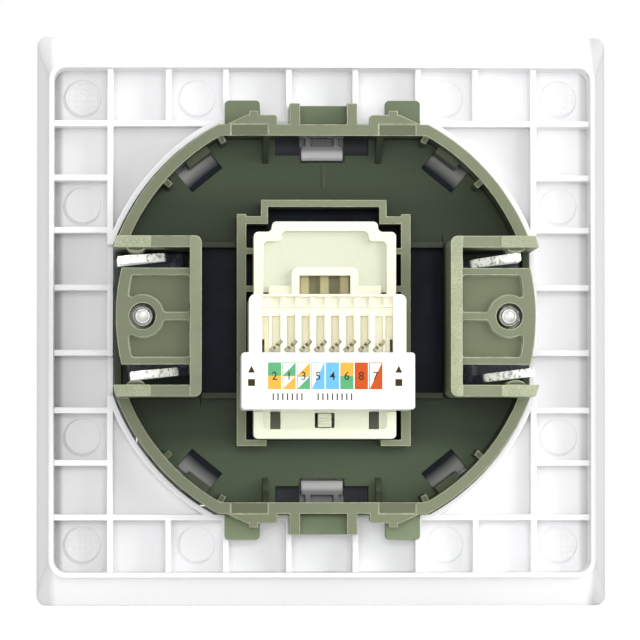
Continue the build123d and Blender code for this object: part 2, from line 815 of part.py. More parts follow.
# Amber block behind the cover's window
with BuildPart() as contact_carrier:
    with BuildSketch(behind(board_rear_y)):
        span(-carrier_half, carrier_half, carrier_bottom_z, carrier_top_z)
    extrude(amount=jack_rear_y - carrier_gap - board_rear_y)
    with BuildSketch(behind(jack_rear_y - carrier_gap - carrier_groove)):
        span(-carrier_half, carrier_half, carrier_bottom_z, carrier_top_z)
        with Locations((0, 0), *spread([carrier_post_x])):
            Rectangle(carrier_post, 4 * carrier_top_z, mode=Mode.SUBTRACT)
    extrude(amount=carrier_groove, mode=Mode.SUBTRACT)
keep(contact_carrier.part, "contact_carrier")

# Back cover of the jack
with BuildPart() as jack_cover:
    with BuildSketch(behind(jack_rear_y)):
        add(jack_shape)
    extrude(amount=cover_rim_y - jack_rear_y)
    with BuildSketch(behind(cover_y)):
        add(cover_inside)
        span(-label_half, label_half, label_bottom_z - jack_gap, block_top_z + jack_gap)
        outer = Rectangle(2 * arch_half, 2 * arch_top_z, mode=Mode.SUBTRACT)
        span(-label_half, label_half, label_bottom_z - jack_gap, block_top_z + jack_gap)
    extrude(amount=cover_rim_y - cover_y, mode=Mode.SUBTRACT)
    arch_corners = jack_cover.edges().filter_by(Axis.Y).filter_by(
        lambda e: abs(abs(e.center().X) - arch_half) < 0.01 and abs(e.center().Z - arch_top_z) < 0.01
    )
    fillet(arch_corners, arch_round)
    with BuildSketch(behind(jack_rear_y)):
        half = arch_half - arch_wall
        span(-half, half, sight_bottom_z, arch_top_z - arch_wall)
    extrude(amount=cover_rim_y - jack_rear_y, mode=Mode.SUBTRACT)
    with BuildSketch(behind(cover_y)):
        for side in (-1, 1):
            ledge = sorted((side * ledge_inner_x, side * ledge_outer_x))
            span(*ledge, block_top_z + jack_gap, ledge_top_z)
    extrude(amount=ledge_height)

    # Holes for the split contacts, the catch, the slots beside it and the ledges' feet
    with BuildSketch(behind(jack_rear_y)):
        with Locations((0, idc_z)):
            Rectangle(contact_pitch * contact_count, idc_width * sin(radians(idc_angle)))
        finger_hole = finger_half + finger_gap
        span(-finger_hole, finger_hole, finger_bottom_z - jack_gap, finger_top_z + jack_gap)
        for side in (-1, 1):
            slot = sorted((side * (latch_slot_x - latch_slot_half), side * (latch_slot_x + latch_slot_half)))
            span(*slot, jack_bottom_z + cover_rim, label_bottom_z - jack_gap)
            foot = sorted((side * ledge_outer_x, side * (jack_half - cover_rim)))
            span(*foot, block_top_z, ledge_hole_top_z)
    extrude(amount=cover_sheet, mode=Mode.SUBTRACT)
keep(jack_cover.part, "jack_cover")

# Punch-down block
with BuildPart() as punch_block:
    with BuildSketch(behind(cover_y)) as body:
        span(-block_half, block_half, block_bottom_z, block_top_z)
        fillet(body.vertices().group_by(Axis.Y)[-1], block_round)
    extrude(amount=block_y - cover_y)
    with BuildSketch(behind(chamber_floor_y)):
        span(-chamber_half, chamber_half, block_bottom_z, comb_bar_z)
    extrude(amount=block_y - chamber_floor_y, mode=Mode.SUBTRACT)
    with BuildSketch(behind(comb_bar_y)):
        span(-chamber_half, chamber_half, comb_bar_z, comb_bar_top_z)
    extrude(amount=block_y - comb_bar_y, mode=Mode.SUBTRACT)
    with BuildSketch(behind(chamber_floor_y)):
        span(-chamber_half, chamber_half, comb_band_z, comb_bar_z)
    extrude(amount=comb_band_y - chamber_floor_y)
    with BuildSketch(behind(chamber_floor_y)):
        span(-chamber_half, chamber_half, step_floor_z, comb_band_z)
    extrude(amount=step_floor_y - chamber_floor_y)

    # Teeth of the comb, with chamfered crests
    with BuildSketch(behind(chamber_floor_y)):
        with Locations((0, (block_bottom_z + tooth_top_z) / 2)):
            with GridLocations(contact_pitch, 0, contact_count - 1, 1):
                Rectangle(tooth_width, tooth_top_z - block_bottom_z)
    extrude(amount=tooth_y - chamber_floor_y)
    crests = punch_block.edges().filter_by(Axis.Z).group_by(Axis.Y)[-2]
    chamfer(crests.filter_by(lambda e: abs(e.center().X) < contact_pitch * 4), tooth_chamfer)
    with BuildSketch(behind(chamber_floor_y)):
        edge_x = contact_pitch * (contact_count - 1) / 2 + slot_width / 2 + end_wall / 2
        with Locations(*spread([edge_x], (block_bottom_z + comb_band_z) / 2)):
            Rectangle(end_wall, comb_band_z - block_bottom_z)
    extrude(amount=comb_band_y - chamber_floor_y)

    # Wire notches across the comb bar, and pockets for the split contacts
    with BuildSketch(behind(comb_bar_y - comb_bar_notch)):
        with Locations((0, (comb_bar_z + comb_bar_top_z) / 2)):
            with GridLocations(contact_pitch, 0, contact_count, 1):
                Rectangle(slot_width, comb_bar_top_z - comb_bar_z)
    extrude(amount=comb_bar_notch, mode=Mode.SUBTRACT)
    with BuildSketch(behind(cover_y)):
        with Locations((0, idc_z)):
            with GridLocations(contact_pitch, 0, contact_count, 1):
                Rectangle(idc_width + 2 * idc_gap, idc_sheet + 2 * idc_gap, rotation=idc_angle)
    extrude(amount=block_y - cover_y, mode=Mode.SUBTRACT)
keep(punch_block.part, "punch_block")

# Block that carries the colour code, hollow from the front
with BuildPart() as label_block:
    with BuildSketch(behind(cover_y)):
        span(-label_half, label_half, label_bottom_z, block_bottom_z - label_gap)
    extrude(amount=label_y - cover_y)
    fillet(label_block.edges().filter_by(Axis.Y), label_round)
    fillet(label_block.faces().sort_by(Axis.Y)[-1].edges(), label_round)
    with BuildSketch(behind(cover_y)):
        half = label_half - label_wall
        span(-half, half, label_bottom_z + label_wall, block_bottom_z - label_gap - label_wall)
    extrude(amount=label_y - label_wall - cover_y, mode=Mode.SUBTRACT)
keep(label_block.part, "label_block")

# Contacts: split blades behind, sprung wires in the port
for number in range(contact_count):
    step = number - (contact_count - 1) / 2

    with BuildPart() as idc_contact:
        blade_out = Vector(-cos(radians(idc_angle)), 0, sin(radians(idc_angle)))
        blade_normal = blade_out.cross(Vector(0, 1, 0))
        blade = Plane(origin=(-step * contact_pitch, 0, idc_z), x_dir=blade_out, z_dir=blade_normal)
        with BuildSketch(blade.offset(-idc_sheet / 2)):
            span(-idc_width / 2, idc_width / 2, idc_stem_end_y, idc_tip_y)
            span(-idc_stem_width / 2, idc_stem_width / 2, board_rear_y, idc_stem_end_y)
            with BuildLine():
                Polyline(
                    (-idc_mouth, idc_tip_y),
                    (idc_mouth, idc_tip_y),
                    (idc_slot / 2, idc_tip_y - idc_mouth),
                    (idc_slot / 2, idc_tip_y - idc_slot_depth),
                    (-idc_slot / 2, idc_tip_y - idc_slot_depth),
                    (-idc_slot / 2, idc_tip_y - idc_mouth),
                    close=True,
                )
            make_face(mode=Mode.SUBTRACT)
        extrude(amount=idc_sheet)
    keep(idc_contact.part, f"idc_contact_{number + 1}")

    with BuildPart() as port_contact:
        with BuildSketch(Plane.YZ.offset(-step * wire_pitch - wire_size / 2)):
            with BuildLine():
                FilletPolyline(
                    (board_y, wire_lay_z),
                    (wire_turn_y, wire_lay_z),
                    (wire_tip_y, wire_tip_z),
                    radius=wire_turn_round,
                )
            trace(line_width=wire_size)
        extrude(amount=wire_size)
    keep(port_contact.part, f"port_contact_{number + 1}")
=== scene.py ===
"""Finish of a flush data socket, seen from behind: mouldings, plated claws, colour code and studio."""

import math

import bmesh
import bpy
from mathutils import Matrix, Vector


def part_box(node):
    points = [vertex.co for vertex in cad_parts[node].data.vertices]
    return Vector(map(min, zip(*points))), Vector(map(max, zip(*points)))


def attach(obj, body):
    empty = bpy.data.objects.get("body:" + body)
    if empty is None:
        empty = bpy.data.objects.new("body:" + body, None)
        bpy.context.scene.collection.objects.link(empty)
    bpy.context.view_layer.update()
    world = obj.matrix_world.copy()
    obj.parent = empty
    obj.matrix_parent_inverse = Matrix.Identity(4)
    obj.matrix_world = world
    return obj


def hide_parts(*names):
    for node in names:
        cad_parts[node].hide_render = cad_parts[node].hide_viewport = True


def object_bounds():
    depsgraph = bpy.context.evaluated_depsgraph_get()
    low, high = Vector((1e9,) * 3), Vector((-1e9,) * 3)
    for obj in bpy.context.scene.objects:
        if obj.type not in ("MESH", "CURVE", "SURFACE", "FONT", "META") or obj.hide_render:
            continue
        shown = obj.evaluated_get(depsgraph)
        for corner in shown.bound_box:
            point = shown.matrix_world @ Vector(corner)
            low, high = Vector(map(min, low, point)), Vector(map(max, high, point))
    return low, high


bl_info = {
    "name": "Data Socket Finish",
    "version": (1, 0, 0),
    "blender": (4, 5, 0),
    "location": "View3D > Sidebar > Data Socket",
    "description": "Finishes a packed data socket: rounded mouldings, threads, colour code and a studio",
    "category": "Object",
}

MM = 0.001

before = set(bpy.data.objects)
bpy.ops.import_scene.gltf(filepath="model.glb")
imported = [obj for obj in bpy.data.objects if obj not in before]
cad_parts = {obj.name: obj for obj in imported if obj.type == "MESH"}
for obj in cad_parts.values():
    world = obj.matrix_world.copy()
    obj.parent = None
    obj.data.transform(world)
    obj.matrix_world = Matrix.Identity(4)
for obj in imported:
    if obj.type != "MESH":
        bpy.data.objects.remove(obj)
cad_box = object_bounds()
SIDES = ("left", "right")
CONTACTS = range(1, 9)
SPARK_GRAIN = 5200

# Zones that a drift of painted light and shade touches, in millimetres: the lowest and highest depth and,
# where a third number is given, how far from the middle it reaches.
COVER_WEB = (-8, -6.8)
COVER_PADS = (-5.4, -4.6, 31)
COVER_BAND = (-8.3, 5)
PLATE_LATCHES = (-7, 10)
PLATE_SLOTS = (-5.5, 10)
SUPPORT_FLOOR = (-50, 0.5)
SUPPORT_TABS = (-50, 4.5)
SUPPORT_REAR = (0.5, 50)
JACK_PANEL = (9, 11.2)
PUNCH_FLOOR = (10, 24.9)


def from_srgb(red, green, blue):
    """Display values of 0 to 255 as a linear colour."""
    scaled = (value / 255 for value in (red, green, blue))
    return tuple(v / 12.92 if v <= 0.04045 else ((v + 0.055) / 1.055) ** 2.4 for v in scaled)


def colour(name, description, *display):
    """A colour property with its default."""
    return bpy.props.FloatVectorProperty(
        name=name, description=description, subtype="COLOR", size=3, min=0, max=1,
        default=from_srgb(*display),
    )


def length(name, description, millimetres):
    """A length property, in metres, with its default in millimetres."""
    return bpy.props.FloatProperty(
        name=name, description=description, unit="LENGTH", default=millimetres * MM, min=0, precision=5
    )


class SocketColours(bpy.types.PropertyGroup):
    """Colours of the socket's pieces."""

    cover: colour("Cover", "White of the cover frame", 248, 248, 249)
    plate: colour("Plate", "White of the centre plate and its latches", 226, 226, 227)
    support: colour("Support", "Grey-green of the support", 93, 99, 78)
    # Support floor and rim: partly their own tones, partly painted shade on the deep floor and painted
    # light on the raised rims.
    support_floor: colour("Support floor", "Deep grey-green of the support's floor", 56, 66, 50)
    support_rim: colour("Support rim", "Lighter grey-green of the support's rims", 125, 131, 107)
    # The pale edges are abraded in part and in part a painted highlight.
    support_edge: colour("Support edge", "Rubbed edges of the support", 174, 179, 151)
    housing: colour("Housing", "Ivory of the jack's housing", 232, 234, 212)
    back: colour("Back cover", "Ivory of the jack's back cover", 236, 239, 218)
    block: colour("Block", "Ivory of the punch-down block", 246, 243, 222)
    label: colour("Label block", "White of the colour code's block", 250, 250, 244)
    film: colour("Film", "Glossy black of the thin liner", 22, 30, 39)
    # Painted shade: the grey of the white plate's back in shade, put on the liner's rim.
    film_plate_shade: colour("Film rim", "Paler rim of the liner", 150, 150, 148)
    amber: colour("Amber", "Amber of the contact carrier", 190, 181, 140)
    laminate: colour("Laminate", "Green of the circuit board", 46, 92, 58)
    steel: colour("Steel", "Zinc plating of claws, nuts and screws", 214, 216, 208)
    # Painted shade: the dark that falls on the claws near their hinge, deep in the housing.
    claw_root: colour("Claw root", "Oily dark steel of the claws near their hinge", 44, 48, 54)
    tin: colour("Tin", "Tin plating of the split contacts", 206, 200, 170)
    gold: colour("Gold", "Gold plating of the port wires", 214, 176, 92)
    green: colour("Code green", "Green of the colour code", 92, 168, 118)
    orange: colour("Code orange", "Orange of the colour code", 240, 172, 72)
    blue: colour("Code blue", "Blue of the colour code", 108, 180, 236)
    brown: colour("Code brown", "Brown of the colour code", 196, 84, 34)
    white: colour("Code white", "White of the colour code", 252, 252, 246)
    ink: colour("Ink", "Ink of the contact numbers", 60, 47, 22)


class SocketSizes(bpy.types.PropertyGroup):
    """Sizes of the fine detail."""

    cover_round: length("Cover rounding", "Rounding of the cover frame's edges", 0.14)
    support_round: length("Support rounding", "Rounding of the support's edges", 0.11)
    jack_round: length("Jack rounding", "Rounding of the jack's edges", 0.16)
    steel_round: length("Steel rounding", "Rounding of the claws and nuts", 0.12)
    mark_radius: length("Ejector radius", "Radius of the ejector marks", 3.1)
    mark_height: length("Ejector height", "Height of the ejector marks", 0.3)
    hatch_pitch: length("Hatch pitch", "Pitch of the hatching on the corner marks", 0.92)
    hatch_radius: length("Hatch radius", "Radius of the hatched field", 2.4)
    hatch_height: length("Hatch height", "Height of the hatching's studs", 0.07)
    thread_pitch: length("Thread pitch", "Pitch of the claw screws", 0.5)
    thread_core: length("Thread core", "Core radius of the claw screws", 1.24)
    code_width: length("Code width", "Width of one field of the colour code", 1.9)
    code_pitch: length("Code pitch", "Pitch of the colour code's fields", 2.06)
    code_height: length("Code height", "Height of the colour code's fields", 3.83)
    code_line: length("Code line", "Thickness of the lines round two-coloured fields", 0.12)
    number_height: length("Number height", "Height of the contact numbers", 1.15)
    print_sink: length("Print sink", "How far the printed face lies under the block's crest", 0.02)


class StudioSettings(bpy.types.PropertyGroup):
    """Camera, lamps and floor."""

    distance: bpy.props.FloatProperty(
        name="Distance", description="Camera to the wall plane", unit="LENGTH", default=0.715, min=0.1
    )
    off_axis: bpy.props.FloatProperty(
        name="Off axis", description="How far the camera stands to the left and low", subtype="ANGLE",
        default=math.radians(1.7),
    )
    lens: bpy.props.FloatProperty(
        name="Lens", description="Focal length in millimetres", default=271.4, min=10
    )
    key: bpy.props.FloatProperty(
        name="Key lamp", description="Power of the key lamp", unit="POWER", default=4.8
    )
    front: bpy.props.FloatProperty(
        name="Front lamp", description="Power of the lamp behind the camera", unit="POWER", default=5.8
    )
    ambient: bpy.props.FloatProperty(name="Ambient", description="Light of the room", default=0.78, min=0)
    floor_reach: bpy.props.FloatProperty(
        name="Floor", description="Half the floor's side", unit="LENGTH", default=3.0, min=0.1
    )


def behind(x, y, z):
    """Matrix that lays a flat drawing on a plane seen from behind: its x runs to -X and its y up."""
    turn = Matrix(((-1, 0, 0), (0, 0, 1), (0, 1, 0))).to_4x4()
    return Matrix.Translation((x, y, z)) @ turn


def bounds_of(node):
    """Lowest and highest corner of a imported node."""
    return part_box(node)


def linked(name, data):
    """A new object in the scene."""
    thing = bpy.data.objects.new(name, data)
    bpy.context.scene.collection.objects.link(thing)
    return thing


def shown(name, mesh, body, slot, *nodes):
    """Puts a finished mesh in the scene on its body, in place of the nodes it stands for."""
    piece = linked(name, mesh)
    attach(piece, body)
    if nodes:
        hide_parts(*nodes)
    return piece


def rounded(node, width):
    """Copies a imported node, merges its doubled points and rounds its corners.

    The rounded faces carry the attribute edge."""
    corner, crease = math.radians(42), math.radians(40)
    bm = bmesh.new()
    bm.from_mesh(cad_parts[node].data)
    bmesh.ops.remove_doubles(bm, verts=bm.verts, dist=0.002 * MM)
    edge_mark = bm.faces.layers.float.new("edge")
    sharp = [e for e in bm.edges if len(e.link_faces) == 2 and e.calc_face_angle() > corner]
    done = bmesh.ops.bevel(
        bm, geom=sharp, offset=width, offset_type="OFFSET", segments=2, profile=0.5,
        affect="EDGES", clamp_overlap=False,
    )
    for face in done["faces"]:
        face[edge_mark] = 1.0
    for face in bm.faces:
        face.smooth = True
    mesh = bpy.data.meshes.new(node + "_finish")
    bm.to_mesh(mesh)
    bm.free()
    mesh.set_sharp_from_angle(angle=crease)
    return mesh


def weighted(mesh, material):
    """Gives a rounded mesh face-weighted normals, so that its flats stay flat, and its material."""
    mesh.materials.clear()
    mesh.materials.append(material)
    holder = linked("holder", mesh)
    modifier = holder.modifiers.new("Weighted normals", "WEIGHTED_NORMAL")
    modifier.keep_sharp = True
    return plain(holder)


def plain(holder):
    """The evaluated mesh of a helper object, which is then removed with its data."""
    bpy.context.view_layer.update()
    depsgraph = bpy.context.evaluated_depsgraph_get()
    mesh = bpy.data.meshes.new_from_object(holder.evaluated_get(depsgraph), depsgraph=depsgraph)
    old = holder.data
    store = bpy.data.curves if holder.type == "FONT" else bpy.data.meshes
    bpy.data.objects.remove(holder)
    store.remove(old)
    return mesh


def finished(node, width, material, name, body, slot):
    """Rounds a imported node, gives it its material and shows it in the node's place."""
    shown(name, weighted(rounded(node, width), material), body, slot, node)


def new_tree(name, **sizes):
    """A geometry node tree with named size inputs, and its group input."""
    tree = bpy.data.node_groups.new(name, "GeometryNodeTree")
    tree.interface.new_socket("Geometry", in_out="INPUT", socket_type="NodeSocketGeometry")
    for label, kind in sizes.items():
        tree.interface.new_socket(label.replace("_", " "), in_out="INPUT", socket_type=kind)
    tree.interface.new_socket("Geometry", in_out="OUTPUT", socket_type="NodeSocketGeometry")
    return tree, tree.nodes.new("NodeGroupInput").outputs


def feed(tree, socket, value):
    """Links a socket to the one that feeds it, or sets its constant."""
    if isinstance(value, bpy.types.NodeSocket):
        tree.links.new(value, socket)
    else:
        socket.default_value = value


def wired(tree, kind, settings=None, **sockets):
    """A node with its settings, whose inputs are given as numbers or as the sockets that feed them."""
    node = tree.nodes.new(kind)
    for key, value in (settings or {}).items():
        setattr(node, key, value)
    for label, value in sockets.items():
        feed(tree, next(s for s in node.inputs if s.name.replace(" ", "_") == label and s.enabled), value)
    return node


def finish_tree(tree, geometry, material):
    """Ends a tree: instances made real, material set."""
    real = wired(tree, "GeometryNodeRealizeInstances", Geometry=geometry)
    painted = wired(tree, "GeometryNodeSetMaterial", Geometry=real.outputs[0], Material=material)
    out = tree.nodes.new("NodeGroupOutput")
    tree.links.new(painted.outputs[0], out.inputs[0])


def grown(name, points, tree, **values):
    """Runs a tree on a cloud of points and returns the plain mesh."""
    seed = bpy.data.meshes.new(name + "_points")
    seed.from_pydata(points, [], [])
    holder = linked(name + "_holder", seed)
    modifier = holder.modifiers.new(name, "NODES")
    modifier.node_group = tree
    for item in tree.interface.items_tree:
        key = item.name.replace(" ", "_")
        if item.in_out == "INPUT" and key in values:
            modifier[item.identifier] = values[key]
    mesh = plain(holder)
    mesh.name = name
    return mesh


def maths(tree, operation, first, second=0.0):
    """A maths node's result."""
    node = tree.nodes.new("ShaderNodeMath")
    node.operation = operation
    for socket, value in zip(node.inputs, (first, second)):
        feed(tree, socket, value)
    return node.outputs[0]


def product(tree, first, *others):
    """Several factors multiplied."""
    for other in others:
        first = maths(tree, "MULTIPLY", first, other)
    return first


def far_out(tree, place):
    """How far a place lies from the origin."""
    node = tree.nodes.new("ShaderNodeVectorMath")
    node.operation = "LENGTH"
    tree.links.new(place, node.inputs[0])
    return node.outputs["Value"]


def new_material(name):
    """An empty material with its shader and the object's coordinates."""
    material = bpy.data.materials.new(name)
    material.use_nodes = True
    tree = material.node_tree
    shader = tree.nodes["Principled BSDF"]
    place = tree.nodes.new("ShaderNodeTexCoord").outputs["Object"]
    return material, tree, shader, place


def stretched(tree, place, scale):
    """Coordinates stretched along the axes."""
    node = tree.nodes.new("ShaderNodeMapping")
    node.inputs["Scale"].default_value = scale
    tree.links.new(place, node.inputs["Vector"])
    return node.outputs[0]


def noise(tree, place, scale, detail=3.0, rough=0.55):
    """Noise over the piece, as a factor."""
    node = tree.nodes.new("ShaderNodeTexNoise")
    node.inputs["Scale"].default_value = scale
    node.inputs["Detail"].default_value = detail
    node.inputs["Roughness"].default_value = rough
    tree.links.new(place, node.inputs["Vector"])
    return node.outputs["Fac"]


def between(tree, factor, low, high, start=0.3, end=0.7):
    """A factor's part from start to end, as a value from low to high."""
    node = tree.nodes.new("ShaderNodeMapRange")
    tree.links.new(factor, node.inputs["Value"])
    for label, value in (("From Min", start), ("From Max", end), ("To Min", low), ("To Max", high)):
        node.inputs[label].default_value = value
    return node.outputs[0]


def blended(tree, factor, first, second):
    """Two colours mixed by a factor. Each is a colour or a socket."""
    node = tree.nodes.new("ShaderNodeMix")
    node.data_type = "RGBA"
    tree.links.new(factor, node.inputs["Factor"])
    colours = [s for s in node.inputs if s.type == "RGBA"]
    for socket, value in zip(colours, (first, second)):
        feed(tree, socket, value if isinstance(value, bpy.types.NodeSocket) else (*value, 1))
    return next(s for s in node.outputs if s.type == "RGBA")


def bumped(tree, shader, height, strength, distance):
    """Relief on a shader."""
    node = tree.nodes.new("ShaderNodeBump")
    node.inputs["Strength"].default_value = strength
    node.inputs["Distance"].default_value = distance
    tree.links.new(height, node.inputs["Height"])
    tree.links.new(node.outputs[0], shader.inputs["Normal"])


def shaded(base, factor):
    """A colour made darker or lighter."""
    return tuple(min(1.0, value * factor) for value in base)


def part_of(tree, place, axis="Y"):
    """A place's part along one axis. Along Y that is how far it lies behind the wall plane."""
    parts = tree.nodes.new("ShaderNodeSeparateXYZ")
    tree.links.new(place, parts.inputs[0])
    return parts.outputs[axis]


def by_depth(tree, place, levels):
    """A colour that changes with the depth: each level is a depth in millimetres and a colour."""
    first, last = levels[0][0], levels[-1][0]
    ramp = tree.nodes.new("ShaderNodeValToRGB")
    tree.links.new(between(tree, part_of(tree, place), 0, 1, first * MM, last * MM), ramp.inputs[0])
    stops = ramp.color_ramp.elements
    stops.remove(stops[1])
    stops[0].position = 0
    stops[0].color = (*levels[0][1], 1)
    for depth, tone in levels[1:]:
        stops.new((depth - first) / (last - first)).color = (*tone, 1)
    return ramp.outputs["Color"]


def tinted(tree, colour_socket, factor, low, high, start=0.3, end=0.7):
    """A colour made darker or lighter by a factor that runs from low to high."""
    node = tree.nodes.new("ShaderNodeVectorMath")
    node.operation = "SCALE"
    tree.links.new(colour_socket, node.inputs[0])
    tree.links.new(between(tree, factor, low, high, start, end), node.inputs["Scale"])
    return node.outputs[0]


def scuffs(tree, place, level, reach):
    """How far plastic is scuffed pale: in patches of speckle above a depth, far out on either side."""
    high = between(tree, part_of(tree, place), 0, 1, (level - 0.05) * MM, level * MM)
    across = part_of(tree, place, "X")
    aside = maths(tree, "MAXIMUM", across, maths(tree, "SUBTRACT", 6 * MM, across))
    outward = between(tree, aside, 0.3, 1, reach * MM, (reach + 2) * MM)
    speckle = between(tree, noise(tree, place, SPARK_GRAIN, 3, 0.7), 0.35, 1, 0.42, 0.62)
    patch = between(tree, noise(tree, place, 130, 2), 0.55, 0.9, 0.4, 0.6)
    return product(tree, high, outward, speckle, patch)


def rubs_and_highlights(tree, place, pale_edge_depth):
    """How far an edge is pale, abraded in part and in part a painted highlight: unevenly, and only above a
    depth.
    """
    mark = tree.nodes.new("ShaderNodeAttribute")
    mark.attribute_name = "edge"
    patchiness = between(tree, noise(tree, place, 900, 2), 0.35, 1.0)
    high = between(tree, part_of(tree, place), 0, 1, pale_edge_depth * MM, (pale_edge_depth + 0.5) * MM)
    return product(tree, mark.outputs["Fac"], patchiness, high)


def within(tree, place, bottom, top, reach=None):
    """One factor for each side of a zone, each of them one inside it and nought outside."""
    limits = [("Y", "GREATER_THAN", bottom), ("Y", "LESS_THAN", top)]
    if reach:
        limits += [(axis, check, limit) for axis in ("X", "Z")
                   for check, limit in (("LESS_THAN", reach), ("GREATER_THAN", -reach))]
    return [maths(tree, check, part_of(tree, place, axis), limit * MM) for axis, check, limit in limits]


def moulded(
    name, base, edge=None, gloss=0.38, grain=0.02, mottle=0.05, soft=0.0, shine=0.4, levels=None,
    frost=None, drift=(), pale_edge_depth=-20.0,
):
    """Injection-moulded plastic: spark-eroded grain, flow mottling and lighter edges, abraded pale in part
    and in part a painted highlight.

    Levels change the colour with the depth, which paints shade on the deeper parts. Frost is the depth and
    the distance from the middle beyond which the plastic is scuffed pale. Drift paints light and shade by
    scaling the colour along an
    axis: the axis, where it starts and where it is full, in millimetres, the factor, and the zone that it
    touches. Edges are pale, abraded and with a painted highlight, only above the depth pale_edge_depth."""
    material, tree, shader, place = new_material(name)
    flow = noise(tree, stretched(tree, place, (1, 1, 0.6)), 60, 4)
    if levels:
        body = tinted(tree, by_depth(tree, place, levels), flow, 1 - mottle, 1 + mottle)
    else:
        body = blended(tree, between(tree, flow, 0, 1), shaded(base, 1 - mottle), shaded(base, 1 + mottle))
    pale = edge or shaded(base, 1.04)
    if frost:
        body = blended(tree, scuffs(tree, place, *frost), body, pale)
    body = blended(tree, rubs_and_highlights(tree, place, pale_edge_depth), body, pale)
    for axis, start, end, factor, zone in drift:
        along = between(tree, part_of(tree, place, axis), 0, 1, start * MM, end * MM)
        body = tinted(tree, body, product(tree, along, *within(tree, place, *zone)), 1, factor, 0, 1)
    tree.links.new(body, shader.inputs["Base Color"])
    tree.links.new(between(tree, flow, gloss - 0.05, gloss + 0.06), shader.inputs["Roughness"])
    shader.inputs["Specular IOR Level"].default_value = shine
    if soft:
        shader.inputs["Subsurface Weight"].default_value = soft
        shader.inputs["Subsurface Radius"].default_value = (1.0, 0.85, 0.55)
        shader.inputs["Subsurface Scale"].default_value = 0.8 * MM
    bumped(tree, shader, noise(tree, place, SPARK_GRAIN, 2, 0.6), 0.5, grain * MM)
    return material


def plated(name, base, rough, along, depth, metal=1.0, low=0.72, levels=None, glow=0.0):
    """Plated metal: crystalline bloom, scratches drawn along its length and uneven polish.

    Levels change the colour with the depth, to paint shade deep in a pocket. Glow is painted light: the
    plating emits its own colour at this strength."""
    material, tree, shader, place = new_material(name)
    bloom = noise(tree, stretched(tree, place, along), 700, 4, 0.6)
    if levels:
        tone = tinted(tree, by_depth(tree, place, levels), bloom, low, 1.06, 0.38, 0.5)
    else:
        tone = blended(tree, between(tree, bloom, 0, 1), shaded(base, low), shaded(base, 1.06))
    tree.links.new(tone, shader.inputs["Base Color"])
    if glow:
        tree.links.new(tone, shader.inputs["Emission Color"])
        shader.inputs["Emission Strength"].default_value = glow
    shader.inputs["Metallic"].default_value = metal
    scratch = noise(tree, stretched(tree, place, along), 2600, 3, 0.7)
    tree.links.new(between(tree, scratch, rough - 0.08, rough + 0.14), shader.inputs["Roughness"])
    bumped(tree, shader, scratch, 0.6, depth * MM)
    return material


def black_film(base, plate_in_shade):
    """Thin glossy black film, slightly wavy. Towards its rim, and a little at the latch slots, it is
    painted with the grey of the white plate's back in shade, as though the plate showed past it.
    """
    material, tree, shader, place = new_material("black_film")
    wave = noise(tree, place, 45, 2)
    cloud = between(tree, noise(tree, place, 240, 3), 0, 1)
    shade = blended(tree, cloud, shaded(base, 0.8), shaded(base, 1.25))
    radius = far_out(tree, stretched(tree, place, (1, 0, 1)))
    # Painted shade: the shaded white plate's grey, at the rim and a little at the latch slots.
    at_rim = between(tree, radius, 0, 1, 27.9 * MM, 29.5 * MM)
    upright = maths(tree, "ABSOLUTE", part_of(tree, place, "Z"))
    at_ends = between(tree, upright, 0, 0.1, 24.2 * MM, 25.4 * MM)
    shade = blended(tree, maths(tree, "MAXIMUM", at_rim, at_ends), shade, plate_in_shade)
    tree.links.new(shade, shader.inputs["Base Color"])
    tree.links.new(between(tree, wave, 0.08, 0.2), shader.inputs["Roughness"])
    shader.inputs["Specular IOR Level"].default_value = 0.1
    bumped(tree, shader, wave, 0.3, 0.2 * MM)
    return material


def laminate(base):
    """Circuit board: green resin over a fine glass weave."""
    material, tree, shader, place = new_material("board_laminate")
    weave = noise(tree, stretched(tree, place, (1, 1, 6)), 1500, 2)
    tone = blended(tree, between(tree, weave, 0, 1), shaded(base, 0.75), shaded(base, 1.2))
    tree.links.new(tone, shader.inputs["Base Color"])
    shader.inputs["Roughness"].default_value = 0.3
    bumped(tree, shader, weave, 0.4, 0.02 * MM)
    return material


def printed(name, base):
    """Ink printed on the label block, thin over the paper's tooth."""
    material, tree, shader, place = new_material(name)
    tooth = noise(tree, place, 2400, 3, 0.65)
    tone = blended(tree, between(tree, tooth, 0, 1, 0.35, 0.75), shaded(base, 1.04), shaded(base, 0.9))
    tree.links.new(tone, shader.inputs["Base Color"])
    shader.inputs["Roughness"].default_value = 0.42
    shader.inputs["Specular IOR Level"].default_value = 0.15
    bumped(tree, shader, tooth, 0.3, 0.01 * MM)
    return material


